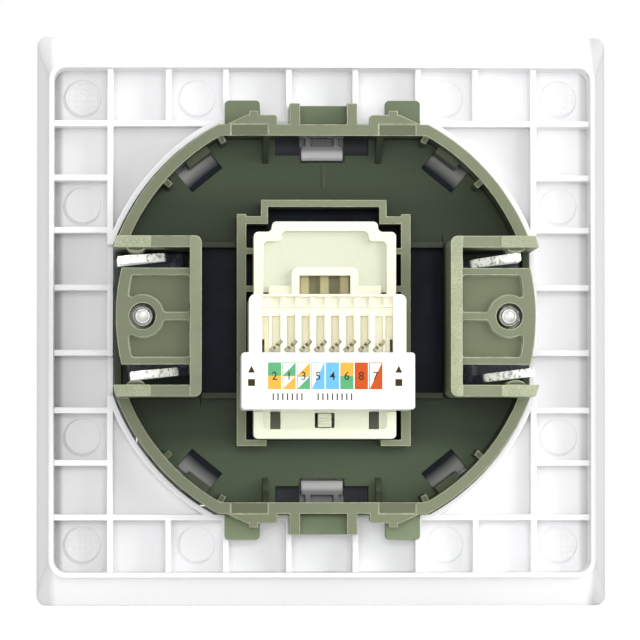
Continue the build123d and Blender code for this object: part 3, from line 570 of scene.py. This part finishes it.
class SOCKET_OT_cover_frame(bpy.types.Operator):
    """Finish the cover frame and stamp the ejector marks in its waffle"""

    bl_idname = "socket.cover_frame"
    bl_label = "Cover frame"

    def execute(self, context):
        sizes = context.scene.socket_sizes
        # The white carries painted shade in its cells and painted light and shade on its pads and band.
        white = moulded(
            "white_cover", context.scene.socket_colours.cover, gloss=0.34, grain=0.012, mottle=0.012,
            drift=self.painted_shading(),
        )
        width = sizes.cover_round
        finished("cover_frame", width, white, "cover_frame_moulding", "socket", "white_cover")

        web = -7.5 * MM
        corner_cell = (35.67 * MM, 33.4 * MM)
        marks = [(18.58 * MM, 33.4 * MM), (35.67 * MM, 17.3 * MM), corner_cell]
        sunk_base = 0.25 * MM
        points = [(sx * x, web - sunk_base, sz * z) for x, z in marks for sx in (-1, 1) for sz in (-1, 1)]
        disc = grown(
            "ejector_marks", points, disc_tree(white), Radius=sizes.mark_radius,
            Height=sizes.mark_height + sunk_base,
        )
        shown("cover_frame_ejector_marks", disc, "socket", "white_cover")

        points = [(sx * corner_cell[0], web + sizes.mark_height, sz * corner_cell[1])
                  for sx in (-1, 1) for sz in (-1, 1)]
        hatch = grown(
            "hatching", points, hatch_tree(white), Pitch=sizes.hatch_pitch, Radius=sizes.hatch_radius,
            Height=sizes.hatch_height,
        )
        shown("cover_frame_hatching", hatch, "socket", "white_cover")
        return {"FINISHED"}

    def painted_shading(self):
        """Painted shade and light of the frame: shade in its cells beside the skirt and on the web towards
        +X, and uneven light and shade on pads and band.
        """
        skirt, wall, slope, rim = 38.5, 39.2, 39.6, 42.4
        beside = (("X", 1, 0.6), ("X", -1, 0.75), ("Z", -1, 0.82), ("Z", 1, 0.95))
        shades = [(axis, side * skirt, side * wall, factor, COVER_WEB) for axis, side, factor in beside]
        return shades + [
            ("X", 14, 29.5, 0.89, COVER_WEB),
            ("Z", -50, -49, 0.9, COVER_PADS),
            ("Z", 0, 5, 0.87, COVER_PADS),
            ("X", 16, 28.5, 0.84, COVER_PADS),
            ("Z", 0, -5, 1.07, COVER_PADS),
            ("X", -16, -28, 0.95, COVER_PADS),
            ("X", 29.5, wall, 0.88, COVER_WEB),
            ("X", slope, slope + 1, 0.77, COVER_BAND),
            ("X", -slope, -slope - 1, 0.64, COVER_BAND),
            ("Z", -slope, -rim, 0.93, COVER_BAND),
        ]


# Turns a drawing to face the rear, leaning a little, so that one side of each mark stands out.
LEAN = (-math.pi / 2 + 0.05, 0, 0.05)


def disc_tree(material):
    """A shallow disc with a sloped edge on each point, facing the rear."""
    tree, size = new_tree("Ejector marks", Radius="NodeSocketFloat", Height="NodeSocketFloat")
    top = maths(tree, "SUBTRACT", size["Radius"], size["Height"])
    disc = wired(
        tree, "GeometryNodeMeshCone", {"fill_type": "NGON"}, Vertices=72, Radius_Top=top,
        Radius_Bottom=size["Radius"], Depth=size["Height"],
    )
    placed = wired(
        tree, "GeometryNodeInstanceOnPoints", Points=size["Geometry"], Instance=disc.outputs["Mesh"],
        Rotation=LEAN,
    )
    finish_tree(tree, placed.outputs[0], material)
    return tree


def hatch_tree(material):
    """A round field of small square studs on each point, facing the rear."""
    tree, size = new_tree(
        "Hatching", Pitch="NodeSocketFloat", Radius="NodeSocketFloat", Height="NodeSocketFloat"
    )
    across, base_share, crest_share, stretch = 9, 0.5, 0.36, (1.25, 1.3, 1)
    side = maths(tree, "MULTIPLY", size["Pitch"], across - 1.0)
    grid = wired(
        tree, "GeometryNodeMeshGrid", Size_X=side, Size_Y=side, Vertices_X=across, Vertices_Y=across
    )
    position = tree.nodes.new("GeometryNodeInputPosition").outputs[0]
    outside = maths(tree, "GREATER_THAN", far_out(tree, position), size["Radius"])
    field = wired(
        tree, "GeometryNodeDeleteGeometry", {"domain": "POINT"}, Geometry=grid.outputs["Mesh"],
        Selection=outside,
    )
    base = maths(tree, "MULTIPLY", size["Pitch"], base_share)
    crest = maths(tree, "MULTIPLY", size["Pitch"], crest_share)
    stud = wired(
        tree, "GeometryNodeMeshCone", {"fill_type": "NGON"}, Vertices=4, Radius_Top=crest,
        Radius_Bottom=base, Depth=size["Height"],
    )
    square = wired(
        tree, "GeometryNodeTransform", Geometry=stud.outputs["Mesh"], Rotation=(0, 0, math.pi / 4)
    )
    studs = wired(
        tree, "GeometryNodeInstanceOnPoints", Points=field.outputs[0], Instance=square.outputs[0],
        Rotation=(0, 0, 0), Scale=stretch,
    )
    placed = wired(
        tree, "GeometryNodeInstanceOnPoints", Points=size["Geometry"], Instance=studs.outputs[0],
        Rotation=LEAN,
    )
    finish_tree(tree, placed.outputs[0], material)
    return tree


class SOCKET_OT_centre_plate(bpy.types.Operator):
    """Finish the centre plate and the thin black liner behind it"""

    bl_idname = "socket.centre_plate"
    bl_label = "Centre plate and liner"

    def execute(self, context):
        colours = context.scene.socket_colours
        width = context.scene.socket_sizes.cover_round
        # Painted shade: the latches much darker, and the plate darker beyond 21 mm from the middle, top
        # and bottom.
        shades = [("Z", side * 24.9, side * 25.5, 0.4, PLATE_LATCHES) for side in (-1, 1)]
        shades += [("Z", -20, -21, 0.6, PLATE_SLOTS), ("Z", 20, 21, 0.66, PLATE_SLOTS)]
        white = moulded("white_plate", colours.plate, gloss=0.3, grain=0.01, mottle=0.012, drift=shades)
        finished("centre_plate", width, white, "centre_plate_moulding", "socket", "white_plate")
        dress("black_liner", black_film(colours.film, colours.film_plate_shade))
        return {"FINISHED"}


def dress(node, material):
    """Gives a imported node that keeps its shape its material."""
    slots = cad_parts[node].data.materials
    slots.clear()
    slots.append(material)


class SOCKET_OT_support(bpy.types.Operator):
    """Finish the moulded support and raise the mould number on its floor"""

    bl_idname = "socket.support"
    bl_label = "Support"

    def execute(self, context):
        colours = context.scene.socket_colours
        width = context.scene.socket_sizes.support_round
        floor, pocket, rim = colours.support_floor, colours.support, colours.support_rim
        # Painted shade: the colour darkens with the depth, from the rims down to the floor, over the
        # parts' own tones.
        levels = (
            (-5.8, floor),
            (-3.5, floor),
            (4.6, shaded(pocket, 0.75)),
            (5.0, shaded(rim, 0.84)),
            (6.1, shaded(rim, 0.96)),
            (16.9, shaded(pocket, 1.15)),
            (17.9, shaded(rim, 0.76)),
            (18.6, shaded(rim, 0.88)),
            (19.0, shaded(rim, 0.92)),
        )
        # Painted light: lighter towards -X, the key lamp's side, and on the floor towards the bottom and
        # the top. The tabs are made much lighter too.
        shades = (
            ("X", 20, -20, 1.17, SUPPORT_REAR),
            ("Z", -6, -17, 1.15, SUPPORT_FLOOR),
            ("Z", -17, -20, 1.8, SUPPORT_FLOOR),
            ("Z", 17, 21, 1.4, SUPPORT_FLOOR),
            ("Z", 28.9, 29.3, 1.9, SUPPORT_TABS),
            ("Z", -28.9, -29.3, 1.9, SUPPORT_TABS),
        )
        grey = moulded(
            "support_plastic", pocket, colours.support_edge, gloss=0.36, grain=0.025, mottle=0.07,
            shine=0.22, levels=levels, frost=(18.95, 22), drift=shades, pale_edge_depth=3.8,
        )
        finished("support", width, grey, "support_moulding", "socket", "support_plastic")
        floor_rear = -4.0 * MM
        # The number's colour is the floor's painted shade, made half again as light.
        mark = moulded("support_mark", shaded(floor, 1.5), gloss=0.36, grain=0.025, shine=0.22)
        place = behind(-0.35 * MM, floor_rear, 21.4 * MM)
        number = lettered("1", place, mark, height=3.3 * MM, depth=0.22 * MM, spread=0.09 * MM)
        shown("support_mould_number", number, "socket", "support_plastic")
        return {"FINISHED"}


def lettered(text, place, material, height, depth, spread):
    """A number as a thin raised mesh, centred on its place. Spread makes its strokes thicker."""
    digit_share = 0.7
    curve = bpy.data.curves.new("number", "FONT")
    curve.body = text
    curve.size = height / digit_share
    curve.align_x = "CENTER"
    curve.align_y = "CENTER"
    curve.extrude = depth / 2
    curve.offset = spread
    curve.resolution_u = 4
    mesh = plain(linked("number", curve))
    low = Vector([min(v.co[i] for v in mesh.vertices) for i in range(3)])
    high = Vector([max(v.co[i] for v in mesh.vertices) for i in range(3)])
    middle = (low + high) / 2
    middle.z = low.z
    mesh.transform(place @ Matrix.Translation(-middle))
    mesh.materials.clear()
    mesh.materials.append(material)
    return mesh


class SOCKET_OT_claws(bpy.types.Operator):
    """Finish the claws and their nuts, and cut the threads of the screws"""

    bl_idname = "socket.claws"
    bl_label = "Claws, nuts and screws"

    def execute(self, context):
        sizes = context.scene.socket_sizes
        base, dark = context.scene.socket_colours.steel, context.scene.socket_colours.claw_root
        # Painted light: claws and screws take the steel half again as light, and the claws glow a little.
        # Below 9 mm the claws take the painted shade of their roots.
        lit_steel = shaded(base, 1.45)
        claw_steel = plated(
            "claw_steel", lit_steel, 0.45, (3, 2, 3), 0.03, metal=0.0, low=0.35, glow=0.46,
            levels=((0.0, dark), (9.0, dark), (11.2, lit_steel), (20.0, lit_steel)),
        )
        nut_steel = plated("nut_steel", shaded(base, 0.92), 0.3, (2, 1, 2), 0.02)
        screw_steel = plated("screw_steel", lit_steel, 0.4, (1, 1, 1), 0.012, metal=0.2, low=0.55)
        thread = thread_tree(screw_steel)
        width = sizes.steel_round
        for side in SIDES:
            claw, nut = "claw_plate_" + side, "claw_nut_body_" + side
            finished("claw_" + side, width, claw_steel, claw, "clamp_" + side, "claw_steel")
            finished("claw_nut_" + side, width, nut_steel, nut, "nut_" + side, "nut_steel")
            self.screw(side, sizes, screw_steel, thread)
        return {"FINISHED"}

    def screw(self, side, sizes, steel, thread):
        """The screw with its shank turned down to the core, its dimpled tip and its thread."""
        node = "claw_screw_" + side
        low, high = bounds_of(node)
        axis = (low + high) / 2
        outer_radius, plain_shank, chamfer = 1.5 * MM, 3.0 * MM, 0.3 * MM
        tip_rim, dimple_rim, dimple_depth = 0.45 * MM, 0.1 * MM, 0.03 * MM
        head = low.y + 1.6 * MM
        mesh = rounded(node, sizes.steel_round / 2)
        for vertex in mesh.vertices:
            out = Vector((vertex.co.x - axis.x, 0, vertex.co.z - axis.z))
            if vertex.co.y > head + 0.1 * MM and out.length > sizes.thread_core:
                turned = out.normalized() * sizes.thread_core
                vertex.co = (axis.x + turned.x, vertex.co.y, axis.z + turned.z)
        bm = bmesh.new()
        bm.from_mesh(mesh)
        tip = [f for f in bm.faces if f.normal.y > 0.9 and f.calc_center_median().y > high.y - 0.02 * MM]
        bmesh.ops.inset_region(bm, faces=tip, thickness=tip_rim, depth=0)
        dimple = [f for f in tip if f.is_valid]
        bmesh.ops.inset_region(bm, faces=dimple, thickness=dimple_rim, depth=-dimple_depth)
        bm.to_mesh(mesh)
        bm.free()
        shown("screw_core_" + side, weighted(mesh, steel), "screw_" + side, "screw_steel", node)

        start = head + plain_shank
        ridge = grown(
            "screw_thread_" + side, [(axis.x, start, axis.z)], thread, Core=sizes.thread_core,
            Pitch=sizes.thread_pitch, Length=high.y - chamfer - start,
            Crest=outer_radius - sizes.thread_core,
        )
        shown("screw_thread_" + side, ridge, "screw_" + side, "screw_steel")


def thread_tree(material):
    """A right-hand thread ridge that winds from each point to the rear."""
    kind = "NodeSocketFloat"
    tree, size = new_tree("Screw thread", Core=kind, Crest=kind, Pitch=kind, Length=kind)
    turns = maths(tree, "DIVIDE", size["Length"], size["Pitch"])
    helix = wired(
        tree, "GeometryNodeCurveSpiral", Resolution=36, Rotations=turns, Start_Radius=size["Core"],
        End_Radius=size["Core"], Height=size["Length"],
    )
    upright = wired(tree, "GeometryNodeSetCurveNormal", {"mode": "Z_UP"}, Curve=helix.outputs[0])
    ridge = wired(
        tree, "GeometryNodeCurvePrimitiveCircle", {"mode": "RADIUS"}, Resolution=4, Radius=size["Crest"]
    )
    swept = wired(
        tree, "GeometryNodeCurveToMesh", Curve=upright.outputs[0], Profile_Curve=ridge.outputs[0],
        Fill_Caps=True,
    )
    placed = wired(
        tree, "GeometryNodeInstanceOnPoints", Points=size["Geometry"], Instance=swept.outputs[0],
        Rotation=(-math.pi / 2, 0, 0),
    )
    finish_tree(tree, placed.outputs[0], material)
    return tree


class SOCKET_OT_jack(bpy.types.Operator):
    """Finish the jack's housing, back cover, punch-down block and label block"""

    bl_idname = "socket.jack"
    bl_label = "Jack mouldings"

    def execute(self, context):
        colours = context.scene.socket_colours
        sizes = context.scene.socket_sizes
        # Painted light on the back cover's lower panel, where the label block's shadow falls, and painted
        # shade on the punch block's floor above 1.6 mm.
        drifts = {
            "jack_cover": [("Z", -11, -13.5, 1.33, JACK_PANEL)],
            "punch_block": [("Z", 1.2, 1.6, 0.85, PUNCH_FLOOR)],
        }
        # Painted shade: the back cover's recessed panel darker with the depth.
        steps = {"jack_cover": ((9.0, 0.75), (10.9, 0.78), (11.7, 0.95), (12.0, 1.0))}
        for node, slot, base, gloss, share in (
            ("jack_housing", "ivory_housing", colours.housing, 0.36, 0.6),
            ("jack_cover", "ivory_cover", colours.back, 0.34, 0.6),
            ("punch_block", "ivory_block", colours.block, 0.32, 0.45),
            ("label_block", "ivory_label", colours.label, 0.3, 0.9),
        ):
            levels = [(depth, shaded(base, factor)) for depth, factor in steps.get(node, ())]
            ivory = moulded(
                slot, base, shaded(base, 1.05), gloss=gloss, grain=0.01, mottle=0.015, soft=0.12,
                levels=levels, drift=drifts.get(node, ()),
            )
            mesh = weighted(rounded(node, sizes.jack_round * share), ivory)
            if node == "label_block":
                sunk(mesh, bounds_of(node)[1].y, sizes.print_sink)
            shown(node + "_moulding", mesh, "socket", slot, node)
            if node == "punch_block":
                low, high = Vector((-9.0, 21.8, -5.3)) * MM, Vector((9.0, 22.4, -3.0)) * MM
                beige = moulded("ivory_pocket", shaded(base, 0.98), gloss=0.4, grain=0.01, mottle=0.05)
                shown("punch_block_pocket_floor", block(low, high, beige), "socket", "ivory_block")
        return {"FINISHED"}


def block(low, high, material):
    """A plain block between two corners."""
    place = Matrix.Translation((low + high) / 2) @ Matrix.Diagonal((*(high - low), 1))
    bm = bmesh.new()
    bmesh.ops.create_cube(bm, size=1, matrix=place)
    mesh = bpy.data.meshes.new("block")
    bm.to_mesh(mesh)
    bm.free()
    mesh.materials.append(material)
    return mesh


def sunk(mesh, rear, sink):
    """Lowers a mesh's rear face a little, so that print on it stays inside the piece's own box."""
    for vertex in mesh.vertices:
        if vertex.co.y > rear - sink:
            vertex.co.y = rear - sink


class SOCKET_OT_inside(bpy.types.Operator):
    """Finish the board, the contact carrier and the contacts"""

    bl_idname = "socket.inside"
    bl_label = "Board and contacts"

    def execute(self, context):
        colours = context.scene.socket_colours
        width = context.scene.socket_sizes.steel_round
        # Painted shade: the carrier much darker in its gaps, between 8 and 8.6 mm deep.
        groove_shade = shaded(colours.amber, 0.45)
        amber = moulded(
            "amber_plastic", colours.amber, gloss=0.4, grain=0.015, mottle=0.12,
            levels=((8.0, groove_shade), (8.6, groove_shade), (8.9, colours.amber), (9.4, colours.amber)),
        )
        finished("contact_carrier", width, amber, "contact_carrier_moulding", "socket", "amber_plastic")
        dress("jack_board", laminate(colours.laminate))
        tin = plated("contact_tin", colours.tin, 0.3, (1, 3, 1), 0.01)
        gold = plated("contact_gold", colours.gold, 0.2, (1, 3, 1), 0.008)
        for number in CONTACTS:
            dress(f"idc_contact_{number}", tin)
            dress(f"port_contact_{number}", gold)
        return {"FINISHED"}


# Inks in the order of the print's materials, and the contacts from left to right as seen from behind:
# the number and the tints of the upper and lower row, or of both rows where there is no lower.
INKS = ("green", "orange", "blue", "brown", "white", "ink")
CODE = (
    ("2", ("green",), ("orange",)),
    ("1", ("white", "green"), ("white", "orange")),
    ("3", ("white", "orange"), ("white", "green")),
    ("5", ("white", "blue"), None),
    ("4", ("blue",), None),
    ("6", ("orange",), ("green",)),
    ("8", ("brown",), None),
    ("7", ("white", "brown"), None),
)
PRINT_LIFT = 0.002 * MM


class SOCKET_OT_colour_code(bpy.types.Operator):
    """Print the wires' colour code and the contact numbers on the label block"""

    bl_idname = "socket.colour_code"
    bl_label = "Colour code"

    def execute(self, context):
        sizes = context.scene.socket_sizes
        colours = context.scene.socket_colours
        inks = {name: printed("code_" + name, getattr(colours, name)) for name in INKS}
        low, high = bounds_of("label_block")
        rear = high.y - sizes.print_sink
        margin, aside, tick_drop = 1.45 * MM, 0.45 * MM, 4.9 * MM
        top = high.z - margin
        middle = (low.x + high.x) / 2 + aside
        bm = bmesh.new()
        self.fields(bm, rear, middle, top, sizes)
        self.marks(bm, rear, middle, top, sizes.code_height)
        self.ticks(bm, rear, middle, top - tick_drop)
        mesh = bpy.data.meshes.new("colour_code")
        bm.to_mesh(mesh)
        bm.free()
        for name in INKS:
            mesh.materials.append(inks[name])
        shown("colour_code_fields", mesh, "socket", "ivory_label")

        for step, (digit, _, _) in enumerate(CODE):
            centre = field_centre(step, middle, sizes.code_pitch)
            place = behind(centre, rear + PRINT_LIFT * 2, top - sizes.code_height / 2)
            mesh = lettered(
                digit, place, inks["ink"], height=sizes.number_height, depth=0.006 * MM, spread=0.008 * MM
            )
            shown(f"contact_number_{step + 1}", mesh, "socket", "ivory_label")
        return {"FINISHED"}

    def fields(self, bm, rear, middle, top, sizes):
        """The coloured fields: one to a contact, or one half above the other where its rows differ."""
        bottom = top - sizes.code_height
        parting = (top + bottom) / 2
        for step, (_, upper, lower) in enumerate(CODE):
            centre = field_centre(step, middle, sizes.code_pitch)
            left = centre + sizes.code_width / 2
            right = centre - sizes.code_width / 2
            halves = [(upper, top, parting), (lower, parting, bottom)] if lower else [(upper, top, bottom)]
            for tints, high, low in halves:
                field(bm, rear, left, right, low, high, [INKS.index(t) for t in tints], sizes.code_line)

    def marks(self, bm, rear, middle, top, height):
        """On each side, a small triangle for the upper row of colours and a small square for the lower."""
        reach, aside = 0.5 * MM, 10.5 * MM
        upper, lower = top - height / 4, top - 3 * height / 4
        for x in (middle - aside, middle + aside):
            triangle = [(x + reach, upper - reach), (x, upper + reach), (x - reach, upper - reach)]
            square = [(x + reach, lower - reach), (x + reach, lower + reach),
                      (x - reach, lower + reach), (x - reach, lower - reach)]
            for shape in (triangle, square):
                printed_face(bm, rear, shape, INKS.index("ink"), PRINT_LIFT)

    def ticks(self, bm, rear, middle, level):
        """Two rows of short upright ticks under the colours."""
        pitch, width, half = 0.68 * MM, 0.2 * MM, 0.5 * MM
        for start, count in ((7.5 * MM, 7), (1.1 * MM, 8)):
            for tick in range(count):
                left = middle + start - tick * pitch
                right = left - width
                low, high = level - half, level + half
                shape = [(left, low), (left, high), (right, high), (right, low)]
                printed_face(bm, rear, shape, INKS.index("ink"), PRINT_LIFT)


def field_centre(step, middle, pitch):
    """Where a field's middle lies. The fields run to -X, which is to the right from behind."""
    return middle - (step - (len(CODE) - 1) / 2) * pitch


def printed_face(bm, y, corners, tint, lift):
    """One thin printed face, which looks to the rear."""
    made = bm.faces.new([bm.verts.new((x, y + lift, z)) for x, z in corners])
    made.material_index = tint
    made.normal_update()
    if made.normal.y < 0:
        made.normal_flip()


def field(bm, y, left, right, low, high, tints, line):
    """One field of the code as thin printed faces. Two tints meet at a diagonal, inside a thin line."""
    whole = [(left, low), (left, high), (right, high), (right, low)]
    printed_face(bm, y, whole, tints[-1], PRINT_LIFT / 2)
    if len(tints) == 2:
        inner_left, inner_right = left - line, right + line
        inner_low, inner_high = low + line, high - line
        half = [(inner_left, inner_low), (inner_left, inner_high), (inner_right, inner_high)]
        printed_face(bm, y, half, tints[0], PRINT_LIFT)


class SOCKET_OT_studio(bpy.types.Operator):
    """Set up the pale floor, the soft light and the camera"""

    bl_idname = "socket.studio"
    bl_label = "Studio"

    def execute(self, context):
        studio = context.scene.socket_studio
        scene = context.scene
        self.floor(studio.floor_reach)
        self.room(scene, studio.ambient)
        target = Vector((0.2 * MM, -6 * MM, 0.15 * MM))
        for name, place, side, power in (
            ("key", (-0.7, 0.65, 0.12), 0.6, studio.key),
            ("front", (0.02, 0.95, -0.02), 0.35, studio.front),
        ):
            lamp = bpy.data.lights.new(name, "AREA")
            lamp.size = side
            lamp.energy = power
            holder = linked(name, lamp)
            holder.matrix_world = aimed(Vector(place), target)
            holder.visible_glossy = name != "front"
        shift = studio.distance * math.tan(studio.off_axis)
        view = bpy.data.cameras.new("camera")
        view.lens = studio.lens
        view.clip_start = 0.01
        view.clip_end = 20
        camera = linked("camera", view)
        camera.matrix_world = aimed(Vector((shift, studio.distance, -shift)), target)
        scene.camera = camera
        scene.view_settings.view_transform = "Standard"
        return {"FINISHED"}

    def floor(self, reach):
        """A plain pale floor under the socket. It shows near white and keeps the shadow."""
        paleness, glow_strength, glow_share = 0.9, 1.08, 0.9
        material = bpy.data.materials.new("pale_floor")
        material.use_nodes = True
        tree = material.node_tree
        tree.nodes.clear()
        matt = tree.nodes.new("ShaderNodeBsdfDiffuse")
        matt.inputs["Color"].default_value = (paleness, paleness, paleness, 1)
        glow = tree.nodes.new("ShaderNodeEmission")
        glow.inputs["Strength"].default_value = glow_strength
        mix = tree.nodes.new("ShaderNodeMixShader")
        share = maths(tree, "MULTIPLY", seen_directly(tree), glow_share)
        tree.links.new(share, mix.inputs[0])
        tree.links.new(matt.outputs[0], mix.inputs[1])
        tree.links.new(glow.outputs[0], mix.inputs[2])
        out = tree.nodes.new("ShaderNodeOutputMaterial")
        tree.links.new(mix.outputs[0], out.inputs[0])
        level = cad_box[0][2]
        mesh = bpy.data.meshes.new("floor")
        corners = [(x * reach, y * reach, level) for x, y in ((-1, -1), (1, -1), (1, 1), (-1, 1))]
        mesh.from_pydata(corners, [], [(0, 1, 2, 3)])
        mesh.materials.append(material)
        linked("floor", mesh)

    def room(self, scene, ambient):
        """An even room: white to the eye and in reflections, softer as light."""
        world = bpy.data.worlds.new("room")
        world.use_nodes = True
        scene.world = world
        tree = world.node_tree
        background = tree.nodes["Background"]
        background.inputs["Color"].default_value = (1, 1, 1, 1)
        level = maths(tree, "MULTIPLY", seen_directly(tree), 1 - ambient)
        tree.links.new(maths(tree, "ADD", level, ambient), background.inputs["Strength"])


def seen_directly(tree):
    """One where a ray comes from the camera, a mirror or clear plastic, and nought for plain light."""
    path = tree.nodes.new("ShaderNodeLightPath").outputs
    eye = maths(tree, "MAXIMUM", path["Is Camera Ray"], path["Is Glossy Ray"])
    return maths(tree, "MAXIMUM", eye, path["Is Transmission Ray"])


def aimed(place, target):
    """Matrix at a place that looks at the target, upright."""
    turn = (target - place).to_track_quat("-Z", "Y").to_matrix().to_4x4()
    return Matrix.Translation(place) @ turn


class SOCKET_PT_finish(bpy.types.Panel):
    """Steps and settings of the finish"""

    bl_idname = "SOCKET_PT_finish"
    bl_label = "Data Socket"
    bl_space_type = "VIEW_3D"
    bl_region_type = "UI"
    bl_category = "Data Socket"

    def draw(self, context):
        scene = context.scene
        for operator in OPERATORS:
            self.layout.operator(operator.bl_idname)
        for group in (scene.socket_colours, scene.socket_sizes, scene.socket_studio):
            box = self.layout.box()
            for key in group.__annotations__:
                box.prop(group, key)


GROUPS = {"socket_colours": SocketColours, "socket_sizes": SocketSizes, "socket_studio": StudioSettings}
OPERATORS = (
    SOCKET_OT_cover_frame,
    SOCKET_OT_centre_plate,
    SOCKET_OT_support,
    SOCKET_OT_claws,
    SOCKET_OT_jack,
    SOCKET_OT_inside,
    SOCKET_OT_colour_code,
    SOCKET_OT_studio,
)


def register():
    """Adds the settings, the steps and the panel."""
    for name, group in GROUPS.items():
        bpy.utils.register_class(group)
        setattr(bpy.types.Scene, name, bpy.props.PointerProperty(type=group))
    for step in (*OPERATORS, SOCKET_PT_finish):
        bpy.utils.register_class(step)


def unregister():
    """Removes the panel, the steps and the settings."""
    for step in (SOCKET_PT_finish, *reversed(OPERATORS)):
        bpy.utils.unregister_class(step)
    for name, group in GROUPS.items():
        delattr(bpy.types.Scene, name)
        bpy.utils.unregister_class(group)


def main():
    """Runs every step in order."""
    register()
    bpy.ops.socket.cover_frame()
    bpy.ops.socket.centre_plate()
    bpy.ops.socket.support()
    bpy.ops.socket.claws()
    bpy.ops.socket.jack()
    bpy.ops.socket.inside()
    bpy.ops.socket.colour_code()
    bpy.ops.socket.studio()


if __name__ == "__main__":
    main()
